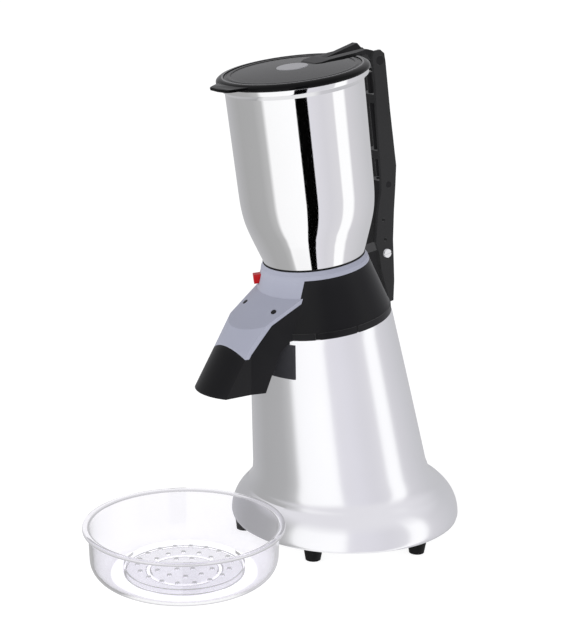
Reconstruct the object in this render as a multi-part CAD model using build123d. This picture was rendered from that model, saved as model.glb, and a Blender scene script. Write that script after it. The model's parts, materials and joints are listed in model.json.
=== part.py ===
"""Upright bar ice crusher: leaning machine on a level cast foot, with its loose ice bowl.

Frame: millimetres, +Z up, the front (spout and bowl) towards -Y.
Everything is drawn with the origin on the ground under the centre of the round foot. Every node is
written moved along Y, so that the saved origin is under the middle of machine and bowl together.
Everything above the foot is drawn upright about the Z axis, with its front at -Y, and then
leaned forward about the X axis through the origin. Heights along that machine axis are called s.
"""
from build123d import *
import math
import os

# ---------------------------------------------------------------- driving dimensions (mm, degrees)
LEAN = 8.88                 # forward lean of the machine axis
GAP = 0.3                   # play between loose neighbours and round moving pieces
RUN = 0.05                  # radial play of a shaft or a pin in its bore

# level foot and feet
FOOT_H = 11.5               # rubber foot, ground to the casting's lower edge
FOOT_RADIUS = 9.0
FOOT_TIP_RADIUS = 7.0
FOOT_NECK_RADIUS = 6.0
FOOT_INSET = 11.0           # circle of the feet inside the flange's edge
FOOT_COUNT = 6
FOOT_FIRST_ANGLE = 35.5     # from the front towards +X
FLANGE_RADIUS = 109.0
FLANGE_CROWN = 35.0         # radius of the flange's rounded edge
CASTING_WALL = 4.0
PLATE_THICKNESS = 2.0       # bottom plate
PLATE_INSET = 1.5           # bottom plate above the casting's lower edge

# leaning cone of the casting
CONE_FOOT_Z = 50.0
CONE_FOOT_RADIUS = 84.5
CONE_FOOT_SHIFT = -5.0      # the cone's foot lies a little in front of the flange's centre
CONE_TOP_S = 214.0
CONE_TOP_RADIUS = 66.0
DECK_THICKNESS = 6.0        # flat top of the casting
DECK_BORE = 24.0

# motor
MOTOR_RADIUS = 48.0
MOTOR_WALL = 2.5
MOTOR_LENGTH = 108.0
MOTOR_BOLT_RADIUS = 2.0
MOTOR_VENT_RADIUS = 7.0
MOTOR_VENT_CIRCLE = 30.0
BELL_THICKNESS = 9.0
STATOR_DEPTH = 14.5         # from the housing's inside to the stator's bore
AIR_GAP = 0.5
STACK_LENGTH = 62.0
SHAFT_RADIUS = 6.0
BEARING_RADIUS = 16.0
BEARING_WIDTH = 10.0

# crushing chamber
FLOOR_THICKNESS = 5.0
SEAL_RADIUS = 13.0
EJECTOR_RADIUS = 50.0
EJECTOR_HEIGHT = 16.0
DISC_S = 244.5              # underside of the blade disc
DISC_RADIUS = 40.8
DISC_THICKNESS = 4.0
BLADE_HEIGHT = 3.0
BLADE_COUNT = 3
BREAKER_RADIUS = 44.3
BREAKER_WALL = 2.5
BREAKER_GAP = 0.8           # between the turning blades and the fixed bars

# collar, ring and hopper
COLLAR_RADIUS = 65.6
COLLAR_LIP = 6.2
COLLAR_TOP_RADIUS = 50.1
COLLAR_TOP_S = 264.8
COLLAR_WALL = 3.0
RING_TOP_RADIUS = 46.9
RING_HEIGHT = 7.4
GASKET_THICKNESS = 1.6
NECK_RADIUS = 44.6          # outside of the hopper's neck
NECK_DEPTH = 8.2            # neck below the top of the ring
SHEET = 1.2                 # hopper steel
BODY_RADIUS = 61.0          # hopper at its shoulder
MOUTH_RADIUS = 61.8         # hopper below its rim band
SHOULDER_S = 326.0
HOPPER_TOP_S = 440.0
RIM_BAND_RADIUS = 66.5
RIM_BAND_HEIGHT = 4.5
RIM_FLARE_HEIGHT = 4.0
LUG_COUNT = 3
LUG_ANGLE = 20.0
LUG_FIRST_ANGLE = 43.0      # from the front towards +X

# spout, in level coordinates except where noted
MOUTH_Z = 157.0
MOUTH_FRONT_Y = -163.0      # middle of the crowned front edge
MOUTH_HALF_WIDTH = 25.5
MOUTH_CROWN = 44.0          # plan radius of the spout's front
THROAT_HALF_WIDTH = 36.0    # where the spout leaves the collar
SPOUT_WALL = 3.0
SPOUT_SLOPE = 58.5          # angle of the lower spout's front above the ground
ROOF_START = (-78.4, 242.3) # side view (y, z) of the roof's edge
ROOF_END = (-117.8, 214.8)
ROOF_CROWN = 6.0            # rise of the roof's middle over its edges
COVER_THICKNESS = 3.0
COVER_HALF_WIDTH = 34.0
COVER_EDGE_Z = 188.5        # lower corners of the cover on the spout's front
COVER_ARCH = 9.0            # rise of that edge in the middle
# side view (y, z) of the spout's back, from the mouth up to the collar
SPOUT_BACK = [(-114.0, MOUTH_Z), (-104.4, 184.0), (-100.8, 193.0), (-95.0, 199.0), (-86.0, 201.5)]

# lid
LID_GAP = 0.6               # above the hopper's rim
LID_RADIUS = 68.4
LID_RIM_HEIGHT = 5.0
LID_RIM_WIDTH = 8.5
LID_DOME = 1.5
LID_PANEL = 2.6
CAP_PROUD = 0.5             # bright disc above the lid's crown
TAB_HALF_WIDTH = 15.0
TAB_REACH = 80.0
CAP_RADIUS = 14.0
HINGE_Y = 86.4              # lid pivot, in upright coordinates
HINGE_DROP = 3.5            # pivot below the hopper's rim
KNUCKLE_RADIUS = 7.6
PIN_RADIUS = 4.2
ARM_HALF_WIDTH = 11.0
ARM_PAD_HALF_WIDTH = 14.0
ARM_RISE = 8.6              # arm and thumb rest above the hopper's rim
ARM_FRONT_Y = 15.5
THUMB_RISE = 14.6
THUMB_HALF_WIDTH = 3.5

# column
COLUMN_HALF_WIDTH = 14.5
COLUMN_WALL = 3.0
SCREW_Y = 72.3              # chrome screws that hold the column in its bracket
SCREW_S = 257.4
ROD_RADIUS = 3.0            # safety rod inside the column
ROD_GAP = 0.7               # rod end below the cam at rest
CAM_RADIUS = 10.5
CAM_HALF_ANGLE = 8.0

# controls
BUTTON_ANGLE = -30.0        # release button, from the front towards +X
BUTTON_S = 258.6
BUTTON_HEIGHT = 8.6
BUTTON_WIDTH = 10.0
BUTTON_REACH = 57.6
SWITCH_Z = 179.5            # mains switch, at the front under the spout
SWITCH_PLATE_HALF_WIDTH = 36.0
SWITCH_PLATE_LOW = 167.0
SWITCH_PLATE_HIGH = 199.0
SWITCH_PLATE = 1.8          # thickness of the plate round it
BEZEL_HALF_WIDTH = 15.0
BEZEL_HALF_HEIGHT = 9.0
BEZEL_PROUD = 2.0           # in front of that plate
SWITCH_DEPTH = 15.0
ROCKER_TIP = 7.0            # rocker's lean to either side of its middle

# cord inlet
GLAND_Z = 78.0
GLAND_RADIUS = 8.0

# ice bowl
BOWL_X = 17.5
BOWL_TUCK = 5.5             # its rim reaches this far back over the casting's edge
BOWL_RADIUS = 90.0
BOWL_HEIGHT = 47.0
BOWL_CORNER = 18.0
BOWL_WALL = 2.4
BOWL_LIP = 4.5
BOWL_DRAFT = 1.5            # the wall leans outwards by this much
DRAIN_RADIUS = 54.5
DRAIN_LIFT = 4.0
DRAIN_THICKNESS = 2.0

# ---------------------------------------------------------------- helpers
TILT = math.radians(LEAN)
SIN_L, COS_L = math.sin(TILT), math.cos(TILT)
AXIS_DIR = (0, -SIN_L, COS_L)


def lean(shape):
    """Upright coordinates to the leaning machine."""
    return shape.rotate(Axis.X, LEAN)


def on_axis(s, y=0.0, x=0.0):
    """Level position of a point given in upright coordinates."""
    return (x, y * COS_L - s * SIN_L, y * SIN_L + s * COS_L)


def turned(points):
    """Solid of revolution about Z from an outline of (radius, height) points."""
    outline = Polyline(*[(r, 0, z) for r, z in points], close=True)
    return revolve(make_face(outline), Axis.Z, 360)


def tube(outer, inner, low, high, x=0.0, y=0.0):
    """Ring, or a disc where inner is 0, standing on height low."""
    body = Pos(x, y, (low + high) / 2) * Cylinder(outer, high - low)
    if inner > 0:
        body -= Pos(x, y, (low + high) / 2) * Cylinder(inner, high - low + 2)
    return body


def block(x0, x1, y0, y1, z0, z1):
    """Box between two corners."""
    centre = Pos((x0 + x1) / 2, (y0 + y1) / 2, (z0 + z1) / 2)
    return centre * Box(x1 - x0, y1 - y0, z1 - z0)


def slab(points, x_low, x_high):
    """Side view outline of (y, z) points, thick from x_low to x_high."""
    outline = Polyline(*[(x_low, y, z) for y, z in points], close=True)
    return extrude(make_face(outline), amount=x_high - x_low, dir=(1, 0, 0))


def plan(points, z_low, z_high):
    """Plan outline of (x, y) points, tall from z_low to z_high."""
    outline = Polyline(*[(x, y, z_low) for x, y in points], close=True)
    return extrude(make_face(outline), amount=z_high - z_low, dir=(0, 0, 1))


def rod_x(radius, x0, x1, y, z):
    """Round bar along X."""
    return Pos((x0 + x1) / 2, y, z) * Rot(0, 90, 0) * Cylinder(radius, x1 - x0)


def rod_y(radius, y0, y1, x, z):
    """Round bar along Y."""
    return Pos(x, (y0 + y1) / 2, z) * Rot(90, 0, 0) * Cylinder(radius, y1 - y0)


def spin(shape, angle):
    """Turn about Z; an angle is measured from the front towards +X."""
    return shape.rotate(Axis.Z, angle)


def sectors(half_angle, first_angle, low, high):
    """Boxes with slanted sides round the axis, one for each lug."""
    near, far = NECK_RADIUS - 8, 2 * LUG_RADIUS
    width = math.tan(math.radians(half_angle))
    outline = [(near * width, -near), (far * width, -far), (-far * width, -far), (-near * width, -near)]
    piece = plan(outline, low, high)
    return Compound(children=[spin(piece, first_angle + i * 360 / LUG_COUNT) for i in range(LUG_COUNT)])


def save(name, shape):
    """Write one node, moved to the saved origin."""
    solids = [Pos(0, FRAME_Y, 0) * solid for solid in shape.solids()]
    shape = solids[0] if len(solids) == 1 else Compound(children=solids)
    shape.label = name
    export_step(shape, f"parts/{name}.step")


# ---------------------------------------------------------------- derived places
DECK_LOW = CONE_TOP_S - DECK_THICKNESS
FLOOR_TOP = CONE_TOP_S + FLOOR_THICKNESS
RING_TOP_S = COLLAR_TOP_S + RING_HEIGHT
HOPPER_SEAT_S = RING_TOP_S + GASKET_THICKNESS
BLADE_TOP = DISC_S + DISC_THICKNESS + BLADE_HEIGHT
LID_LOW_S = HOPPER_TOP_S + LID_GAP
LID_TOP_S = LID_LOW_S + LID_RIM_HEIGHT
MOTOR_TOP = DECK_LOW
MOTOR_LOW = MOTOR_TOP - MOTOR_LENGTH
STACK_LOW = (MOTOR_TOP + MOTOR_LOW - STACK_LENGTH) / 2
STACK_HIGH = STACK_LOW + STACK_LENGTH
COLLAR_LIP_TOP = CONE_TOP_S + COLLAR_LIP
STATOR_BORE = MOTOR_RADIUS - MOTOR_WALL - STATOR_DEPTH
ROTOR_RADIUS = STATOR_BORE - AIR_GAP
HINGE_S = HOPPER_TOP_S - HINGE_DROP
ARM_TOP_S = HOPPER_TOP_S + ARM_RISE
THUMB_S = HOPPER_TOP_S + THUMB_RISE
BOWL_Y = BOWL_TUCK - FLANGE_RADIUS - BOWL_RADIUS
FRAME_Y = -(BOWL_Y - BOWL_RADIUS + FLANGE_RADIUS) / 2


def foot_places():
    """Plan positions of the feet."""
    circle = FLANGE_RADIUS - FOOT_INSET
    for i in range(FOOT_COUNT):
        turn = math.radians(FOOT_FIRST_ANGLE + i * 360 / FOOT_COUNT)
        yield circle * math.sin(turn), -circle * math.cos(turn)


# ---------------------------------------------------------------- casting and foot
def flange_solid(inset):
    """Rounded level flange, each face moved inwards by inset."""
    centre_r = FLANGE_RADIUS - FLANGE_CROWN
    centre_z = FOOT_H + 3.5
    radius = FLANGE_CROWN - inset
    low = FOOT_H if inset == 0 else FOOT_H - 5
    edge = centre_r + radius
    top = (centre_r, 0, centre_z + radius)
    middle = (centre_r + radius * math.cos(math.pi / 4), 0, centre_z + radius * math.sin(math.pi / 4))
    lines = [
        Line((0, 0, low), (edge - (1.0 if inset == 0 else 0.0), 0, low)),
        Line((edge - (1.0 if inset == 0 else 0.0), 0, low), (edge, 0, centre_z)),
        ThreePointArc((edge, 0, centre_z), middle, top),
        Line(top, (0, 0, centre_z + radius)),
        Line((0, 0, centre_z + radius), (0, 0, low)),
    ]
    return revolve(make_face(Wire(lines)), Axis.Z, 360)


def cone_solid(grow, low_extra=10.0, top_s=CONE_TOP_S):
    """Leaning cone of the casting, its surface moved outwards by grow."""
    slope = (CONE_FOOT_RADIUS - CONE_TOP_RADIUS) / (CONE_TOP_S - CONE_FOOT_Z)
    low_z = CONE_FOOT_Z - low_extra
    low_radius = CONE_FOOT_RADIUS + slope * low_extra + grow
    top_radius = CONE_TOP_RADIUS + slope * (CONE_TOP_S - top_s) + grow
    low_y = CONE_FOOT_SHIFT * (1 - low_extra / CONE_FOOT_Z)
    low_face = Plane((0, low_y, low_z), x_dir=(1, 0, 0), z_dir=(0, 0, 1)) * Circle(low_radius)
    top_face = Plane(on_axis(top_s), x_dir=(1, 0, 0), z_dir=AXIS_DIR) * Circle(top_radius)
    return loft([low_face, top_face], ruled=True)


def cone_at(z):
    """Level centre y and outer radius of the cone at height z."""
    share = (z - CONE_FOOT_Z) / (CONE_TOP_S * COS_L - CONE_FOOT_Z)
    centre = CONE_FOOT_SHIFT + share * (-CONE_TOP_S * SIN_L - CONE_FOOT_SHIFT)
    radius = CONE_FOOT_RADIUS + share * (CONE_TOP_RADIUS - CONE_FOOT_RADIUS)
    return centre, radius


def gland_axis_y():
    """Rear wall of the cone at the height of the cord gland."""
    centre, radius = cone_at(GLAND_Z)
    return centre + radius


def at_switch(shape):
    """Put a piece drawn with the cone's front wall at y = 0 in its place at the switch's height."""
    centre, radius = cone_at(SWITCH_Z)
    return Pos(0, centre - radius, 0) * shape


PLATE_LOW = FOOT_H + PLATE_INSET
PLATE_TOP = PLATE_LOW + PLATE_THICKNESS
FOOT_SCREW_RADIUS = 2.5
FOOT_SCREW_TOP = 30.0


def base_casting():
    outer = flange_solid(0) + cone_solid(0)
    hollow = flange_solid(CASTING_WALL) + cone_solid(-CASTING_WALL, low_extra=14, top_s=DECK_LOW)
    body = outer - hollow
    for x, y in foot_places():
        body += tube(FOOT_NECK_RADIUS, 0, PLATE_TOP, CONE_FOOT_Z, x, y) & outer
    for x, y in foot_places():
        body -= tube(FOOT_SCREW_RADIUS + RUN, 0, PLATE_TOP - 1, FOOT_SCREW_TOP + 1, x, y)
    body -= lean(tube(DECK_BORE, 0, DECK_LOW - 1, CONE_TOP_S + 1))
    for x, y in deck_screw_places():
        body -= lean(tube(2.0 + RUN, 0, DECK_LOW - 1, CONE_TOP_S + 1, x, y))
    for x, y in motor_bolt_places():
        body -= lean(tube(MOTOR_BOLT_RADIUS + RUN, 0, DECK_LOW - 1, CONE_TOP_S - 1.5, x, y))
    body -= rod_y(GLAND_RADIUS + RUN, gland_axis_y() - 30, gland_axis_y() + 20, 0, GLAND_Z)
    body -= at_switch(switch_pocket())
    return body


def bottom_plate():
    """Steel plate that closes the casting, with a ring of cooling slots."""
    radius = FLANGE_RADIUS - CASTING_WALL - GAP
    plate = tube(radius, 0, PLATE_LOW, PLATE_TOP)
    for x, y in foot_places():
        plate -= tube(FOOT_SCREW_RADIUS + RUN, 0, PLATE_LOW - 1, PLATE_TOP + 1, x, y)
    slot = block(-2, 2, -62, -34, PLATE_LOW - 1, PLATE_TOP + 1)
    for i in range(12):
        plate -= spin(slot, i * 30)
    return plate


def foot(x, y):
    """Tapered rubber foot with a countersunk seat for its screw."""
    outline = [(0, 0), (FOOT_TIP_RADIUS, 0), (FOOT_RADIUS, FOOT_H), (FOOT_NECK_RADIUS, FOOT_H),
               (FOOT_NECK_RADIUS, PLATE_LOW), (0, PLATE_LOW)]
    body = Pos(x, y, 0) * turned(outline)
    body -= tube(5.0, 0, -1, 5, x, y)
    body -= tube(FOOT_SCREW_RADIUS + RUN, 0, -1, PLATE_LOW + 1, x, y)
    return body


def foot_screws():
    screws = []
    for x, y in foot_places():
        screws.append(tube(4.6, 0, 2.0, 5.0, x, y) + tube(FOOT_SCREW_RADIUS, 0, 5.0, FOOT_SCREW_TOP, x, y))
    return Compound(children=[s.solids()[0] for s in screws])


# ---------------------------------------------------------------- switch and cord inlet
def switch_pocket():
    """Room for the switch body through the wall."""
    w, h = BEZEL_HALF_WIDTH - 2, BEZEL_HALF_HEIGHT - 2
    return block(-w, w, -12, 12, SWITCH_Z - h, SWITCH_Z + h)


def switch_plate():
    """Plate round the switch, curved like the wall it lies on."""
    w = SWITCH_PLATE_HALF_WIDTH
    layer = cone_solid(SWITCH_PLATE) - cone_solid(0)
    plate = layer & block(-w, w, -150, -40, SWITCH_PLATE_LOW, SWITCH_PLATE_HIGH)
    return largest(plate - at_switch(switch_pocket()))


ROCKER_PIVOT_Y = 0.0
ROCKER_PIN_RADIUS = 1.2


def switch_body():
    """Rocker switch housing: bezel outside, box inside, with room for the rocker."""
    w, h = BEZEL_HALF_WIDTH, BEZEL_HALF_HEIGHT
    front = -SWITCH_PLATE - BEZEL_PROUD
    body = at_switch(block(-w, w, front, 3, SWITCH_Z - h, SWITCH_Z + h)) - cone_solid(SWITCH_PLATE)
    body += at_switch(block(-w + 2 + GAP, w - 2 - GAP, front, SWITCH_DEPTH,
                            SWITCH_Z - h + 2 + GAP, SWITCH_Z + h - 2 - GAP))
    body -= at_switch(block(-w + 4, w - 4, -12, 8, SWITCH_Z - h + 4, SWITCH_Z + h - 4))
    body -= at_switch(rod_x(ROCKER_PIN_RADIUS + RUN, -w + 3, w - 3, ROCKER_PIVOT_Y, SWITCH_Z))
    return largest(body)


def switch_rocker():
    """Rocker, tipped to its off side."""
    w, h = BEZEL_HALF_WIDTH - 4 - GAP, BEZEL_HALF_HEIGHT - 4 - 2 * GAP
    y, z = ROCKER_PIVOT_Y, SWITCH_Z
    front = -SWITCH_PLATE - BEZEL_PROUD
    body = slab([(front - 0.4, z), (front - 1.2, z + h), (y + 0.5, z + h * 0.8), (y + 2.6, z),
                 (y + 0.5, z - h * 0.8), (front - 1.2, z - h)], -w, w)
    pin_end = BEZEL_HALF_WIDTH - 3 - RUN
    body += rod_x(ROCKER_PIN_RADIUS, -pin_end, pin_end, y, z)
    body = body.rotate(Axis((0, y, z), (1, 0, 0)), -ROCKER_TIP)
    return at_switch(body)


def cord_gland():
    """Empty cable gland in the rear wall."""
    y = gland_axis_y()
    body = rod_y(GLAND_RADIUS, y - CASTING_WALL - 7.5, y + 3, 0, GLAND_Z)
    body += rod_y(GLAND_RADIUS + 3, y + 2, y + 6, 0, GLAND_Z) - cone_solid(0)
    body += Pos(0, y + 5, GLAND_Z) * Rot(-90, 0, 0) * Cone(GLAND_RADIUS + 0.5, 5.5, 9,
                                                         align=(Align.CENTER, Align.CENTER, Align.MIN))
    body -= rod_y(3.6, y - 30, y + 40, 0, GLAND_Z)
    return body


def gland_nut():
    """Hexagon nut inside the rear wall."""
    inner = gland_axis_y() - CASTING_WALL - 3.4
    nut = Pos(0, inner, GLAND_Z) * Rot(90, 0, 0) * extrude(RegularPolygon(GLAND_RADIUS + 4, 6), 3.0)
    return nut - rod_y(GLAND_RADIUS + RUN, inner - 10, inner + 10, 0, GLAND_Z)


# ---------------------------------------------------------------- motor
def motor_bolt_places():
    for i in range(4):
        turn = math.radians(45 + i * 90)
        yield (MOTOR_RADIUS - 8) * math.cos(turn), (MOTOR_RADIUS - 8) * math.sin(turn)


def motor_housing():
    return tube(MOTOR_RADIUS, MOTOR_RADIUS - MOTOR_WALL, MOTOR_LOW + BELL_THICKNESS,
                MOTOR_TOP - BELL_THICKNESS)


def motor_bell(low, pocket_low):
    """End bell with a bearing seat and four vents."""
    bell = tube(MOTOR_RADIUS, 0, low, low + BELL_THICKNESS)
    bell -= tube(SHAFT_RADIUS + 2, 0, low - 1, low + BELL_THICKNESS + 1)
    bell -= tube(BEARING_RADIUS, 0, pocket_low, pocket_low + BEARING_WIDTH)
    for x, y in motor_bolt_places():
        bell -= tube(MOTOR_BOLT_RADIUS + RUN, 0, low - 1, low + BELL_THICKNESS + 1, x, y)
    for i in range(4):
        turn = math.radians(i * 90)
        x, y = MOTOR_VENT_CIRCLE * math.cos(turn), MOTOR_VENT_CIRCLE * math.sin(turn)
        bell -= tube(MOTOR_VENT_RADIUS, 0, low - 1, low + BELL_THICKNESS + 1, x, y)
    return bell


BEARING_POCKET = 7.0        # bearing seat into each bell from the inside
LOW_BEARING_S = MOTOR_LOW + BELL_THICKNESS - BEARING_POCKET
HIGH_BEARING_S = MOTOR_TOP - BELL_THICKNESS + BEARING_POCKET - BEARING_WIDTH


def bearing(low):
    body = tube(BEARING_RADIUS, SHAFT_RADIUS + RUN, low, low + BEARING_WIDTH)
    groove = 1.0
    for s in (low - 1, low + BEARING_WIDTH - groove):
        body -= tube(BEARING_RADIUS - 3, SHAFT_RADIUS + 3, s, s + groove + 1)
    return body


def stator():
    """Laminated ring with its two winding heads."""
    core = tube(MOTOR_RADIUS - MOTOR_WALL, STATOR_BORE, STACK_LOW, STACK_HIGH)
    for x, y in motor_bolt_places():
        core -= tube(3.0, 0, STACK_LOW - 1, STACK_HIGH + 1, x, y)
    core += tube(STATOR_BORE + 7, STATOR_BORE + 1, STACK_LOW - 7, STACK_LOW)
    core += tube(STATOR_BORE + 7, STATOR_BORE + 1, STACK_HIGH, STACK_HIGH + 7)
    return core


def motor_bolts():
    """Four long screws from the lower bell up into the casting's deck."""
    bolts = []
    for x, y in motor_bolt_places():
        bolt = tube(MOTOR_BOLT_RADIUS, 0, MOTOR_LOW, CONE_TOP_S - 2, x, y)
        bolt += tube(2 * MOTOR_BOLT_RADIUS, 0, MOTOR_LOW - 3, MOTOR_LOW, x, y)
        bolts.append(lean(bolt).solids()[0])
    return Compound(children=bolts)


def rotor():
    return tube(ROTOR_RADIUS, SHAFT_RADIUS, STACK_LOW, STACK_HIGH)


SHAFT_LOW = MOTOR_LOW - 14
SHAFT_TOP = DISC_S + DISC_THICKNESS + 7.5


def drive_shaft():
    shaft = tube(SHAFT_RADIUS, 0, SHAFT_LOW, SHAFT_TOP)
    return chamfer(shaft.edges().filter_by(GeomType.CIRCLE), 0.8)


def cooling_fan():
    """Nine blades on a hub below the motor."""
    hub_top = MOTOR_LOW - 4
    hub_low = hub_top - 9
    fan = tube(11, SHAFT_RADIUS, hub_low, hub_top) + tube(38, 11, hub_low, hub_low + 1.5)
    for i in range(9):
        fan += spin(block(-0.8, 0.8, -38, -10, hub_low + 1, hub_top), i * 40)
    return fan


CAPACITOR = (-58.0, 30.0)
CAPACITOR_TOP = PLATE_TOP + 30


def run_capacitor():
    """Can beside the motor, standing on the bottom plate."""
    can = tube(12, 0, PLATE_TOP, CAPACITOR_TOP, *CAPACITOR)
    return can + tube(4, 0, CAPACITOR_TOP, CAPACITOR_TOP + 4, *CAPACITOR)


def terminal_block():
    body = block(-18, 18, 52, 66, PLATE_TOP, PLATE_TOP + 14)
    for i in range(4):
        body -= tube(2.5, 0, PLATE_TOP + 8, PLATE_TOP + 20, -13.5 + 9 * i, 59)
    return body


# ---------------------------------------------------------------- crushing chamber
def deck_screw_places():
    for i in range(3):
        turn = math.radians(90 + i * 120)
        yield 54 * math.cos(turn), 54 * math.sin(turn)


FLOOR_RADIUS = COLLAR_RADIUS - COLLAR_WALL - 1.0 - GAP


def chamber_floor():
    floor = tube(FLOOR_RADIUS, 0, CONE_TOP_S, FLOOR_TOP)
    floor -= tube(SEAL_RADIUS, 0, CONE_TOP_S - 1, FLOOR_TOP + 1)
    for x, y in deck_screw_places():
        floor -= tube(2.0 + RUN, 0, CONE_TOP_S - 1, FLOOR_TOP + 1, x, y)
        floor -= tube(4.2, 0, FLOOR_TOP - 2.5, FLOOR_TOP + 1, x, y)
    return floor


def floor_screws():
    head_low = FLOOR_TOP - 2.5
    screws = []
    for x, y in deck_screw_places():
        screw = tube(2.0, 0, DECK_LOW + 0.5, head_low, x, y) + tube(3.9, 0, head_low, FLOOR_TOP, x, y)
        screws.append(lean(screw).solids()[0])
    return Compound(children=screws)


def shaft_seal():
    return tube(SEAL_RADIUS, SHAFT_RADIUS + RUN, CONE_TOP_S, FLOOR_TOP + 1.0)


def ejector():
    """Three curved paddles that sweep the crushed ice into the spout."""
    low = FLOOR_TOP + 1.8
    body = tube(12, SHAFT_RADIUS, low, DISC_S)
    for i in range(3):
        paddle = block(-1.6, 1.6, -EJECTOR_RADIUS, -10, low, low + EJECTOR_HEIGHT)
        body += spin(paddle, i * 120 + 20)
    return body


def blade_disc():
    """Turning disc with three slots that let the crushed ice fall."""
    disc = tube(DISC_RADIUS, SHAFT_RADIUS, DISC_S, DISC_S + DISC_THICKNESS)
    slot = block(3, 10, -DISC_RADIUS + 5, -14, DISC_S - 1, DISC_S + DISC_THICKNESS + 1)
    for i in range(BLADE_COUNT):
        disc -= spin(slot, i * 360 / BLADE_COUNT)
    return disc


def blades():
    """One toothed knife at the edge of each slot."""
    low = DISC_S + DISC_THICKNESS
    knives = []
    for i in range(BLADE_COUNT):
        edge = [(-12, BLADE_TOP - 1.2), (-18, BLADE_TOP), (-24, BLADE_TOP - 1.2), (-30, BLADE_TOP)]
        knife = slab([(-DISC_RADIUS + 3, low), (-12, low)] + edge + [(-DISC_RADIUS + 3, BLADE_TOP - 1.2)],
                     -0.5, 2.5)
        knives.append(lean(spin(knife, i * 360 / BLADE_COUNT)).solids()[0])
    return Compound(children=knives)


def blade_nut():
    low = DISC_S + DISC_THICKNESS
    nut = Pos(0, 0, low) * extrude(RegularPolygon(9.5, 6), 5.0)
    return nut - tube(SHAFT_RADIUS, 0, low - 1, low + 8)


def breaker_ring():
    """Fixed sleeve under the hopper with three bars that the ice breaks on."""
    flange_top = COLLAR_TOP_S + 1.2
    ring = tube(BREAKER_RADIUS, BREAKER_RADIUS - BREAKER_WALL, DISC_S - 1, flange_top)
    ring += tube(BREAKER_RADIUS + 2.7, BREAKER_RADIUS - BREAKER_WALL, COLLAR_TOP_S, flange_top)
    bar_low = BLADE_TOP + BREAKER_GAP
    root, tip = -BREAKER_RADIUS + 1, -14
    bar = slab([(root, bar_low), (tip, bar_low), (tip, bar_low + 4), (root, bar_low + 7)], -2, 2)
    for i in range(3):
        ring += spin(bar, i * 120 + 60)
    return ring


# ---------------------------------------------------------------- spout
def rise(y0, z0, z):
    """Level y of a line that climbs from (y0, z0) at the lower spout's slope."""
    return y0 + (z - z0) / math.tan(math.radians(SPOUT_SLOPE))


def collar_cone(depth=0.0):
    """Solid inside the collar's outer surface, in upright coordinates, lengthened down by depth."""
    low = CONE_TOP_S - depth
    return turned([(0, low), (COLLAR_RADIUS, low), (COLLAR_RADIUS, COLLAR_LIP_TOP),
                   (COLLAR_RADIUS - 0.8, COLLAR_LIP_TOP), (COLLAR_TOP_RADIUS, COLLAR_TOP_S),
                   (0, COLLAR_TOP_S)])


def collar_room():
    """Space inside the collar's wall, in upright coordinates."""
    wall = COLLAR_WALL
    foot_r = COLLAR_RADIUS - wall - 1.0
    return turned([(0, CONE_TOP_S - 1), (foot_r, CONE_TOP_S - 1), (foot_r, COLLAR_LIP_TOP),
                   (COLLAR_TOP_RADIUS - wall + 1.6, COLLAR_TOP_S - 4), (0, COLLAR_TOP_S - 4)])


ROOF_TILT = math.atan2(ROOF_START[1] - ROOF_END[1], ROOF_START[0] - ROOF_END[0])
ROOF_RADIUS = (COVER_HALF_WIDTH ** 2 + ROOF_CROWN ** 2) / (2 * ROOF_CROWN)


def roof_z(x, y):
    """Height of the roof over a level point."""
    crown = math.sqrt(ROOF_RADIUS ** 2 - x * x) - ROOF_RADIUS + ROOF_CROWN
    return ROOF_START[1] + (y - ROOF_START[0]) * math.tan(ROOF_TILT) + crown


def below_roof(inset):
    """Everything below the spout's crowned roof."""
    back, low, half = 60.0, -200.0, 50.0
    drop = inset / math.cos(ROOF_TILT)
    outline = Wire([
        ThreePointArc((-half, back, roof_z(half, back) - drop), (0, back, roof_z(0, back) - drop),
                      (half, back, roof_z(half, back) - drop)),
        Line((half, back, roof_z(half, back) - drop), (half, back, low)),
        Line((half, back, low), (-half, back, low)),
        Line((-half, back, low), (-half, back, roof_z(half, back) - drop)),
    ])
    return extrude(make_face(outline), amount=420, dir=(0, -math.cos(ROOF_TILT), -math.sin(ROOF_TILT)))


def spout_side(inset, mouth_low):
    """Side view of the spout's back, open above and in front, moved inwards by inset."""
    front, inner, high = -300.0, -40.0, 320.0
    steps = [math.atan2(b[1] - a[1], b[0] - a[0]) for a, b in zip(SPOUT_BACK, SPOUT_BACK[1:])]
    before, after = steps[:1] + steps, steps + [0.0]
    edge = []
    for (y, z), first, second in zip(SPOUT_BACK, before, after):
        turn = (first + second) / 2
        reach = inset / math.cos((first - second) / 2)
        edge.append((y - reach * math.sin(turn), z + reach * math.cos(turn)))
    low_y = edge[0][0] - (edge[0][1] - mouth_low) / math.tan(steps[0])
    above = [(inner, edge[-1][1]), (inner, high), (front, high)]
    return [(front, mouth_low), (low_y, mouth_low)] + edge[1:] + above


def spout_front(inset, mouth_low):
    """Crowned front of the spout as a slanted prism that reaches far back."""
    slope = math.radians(SPOUT_SLOPE)
    radius = MOUTH_CROWN - inset
    front = MOUTH_FRONT_Y + inset / math.sin(slope)
    front = rise(front, MOUTH_Z, mouth_low)
    half = min(radius * 0.97, THROAT_HALF_WIDTH + 4)
    side_y = front + radius - math.sqrt(radius * radius - half * half)
    back_y = 60.0
    outline = Wire([
        ThreePointArc((-half, side_y, mouth_low), (0, front, mouth_low), (half, side_y, mouth_low)),
        Line((half, side_y, mouth_low), (half, back_y, mouth_low)),
        Line((half, back_y, mouth_low), (-half, back_y, mouth_low)),
        Line((-half, back_y, mouth_low), (-half, side_y, mouth_low)),
    ])
    return extrude(make_face(outline), amount=130, dir=(0, math.cos(slope), math.sin(slope)))


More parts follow.
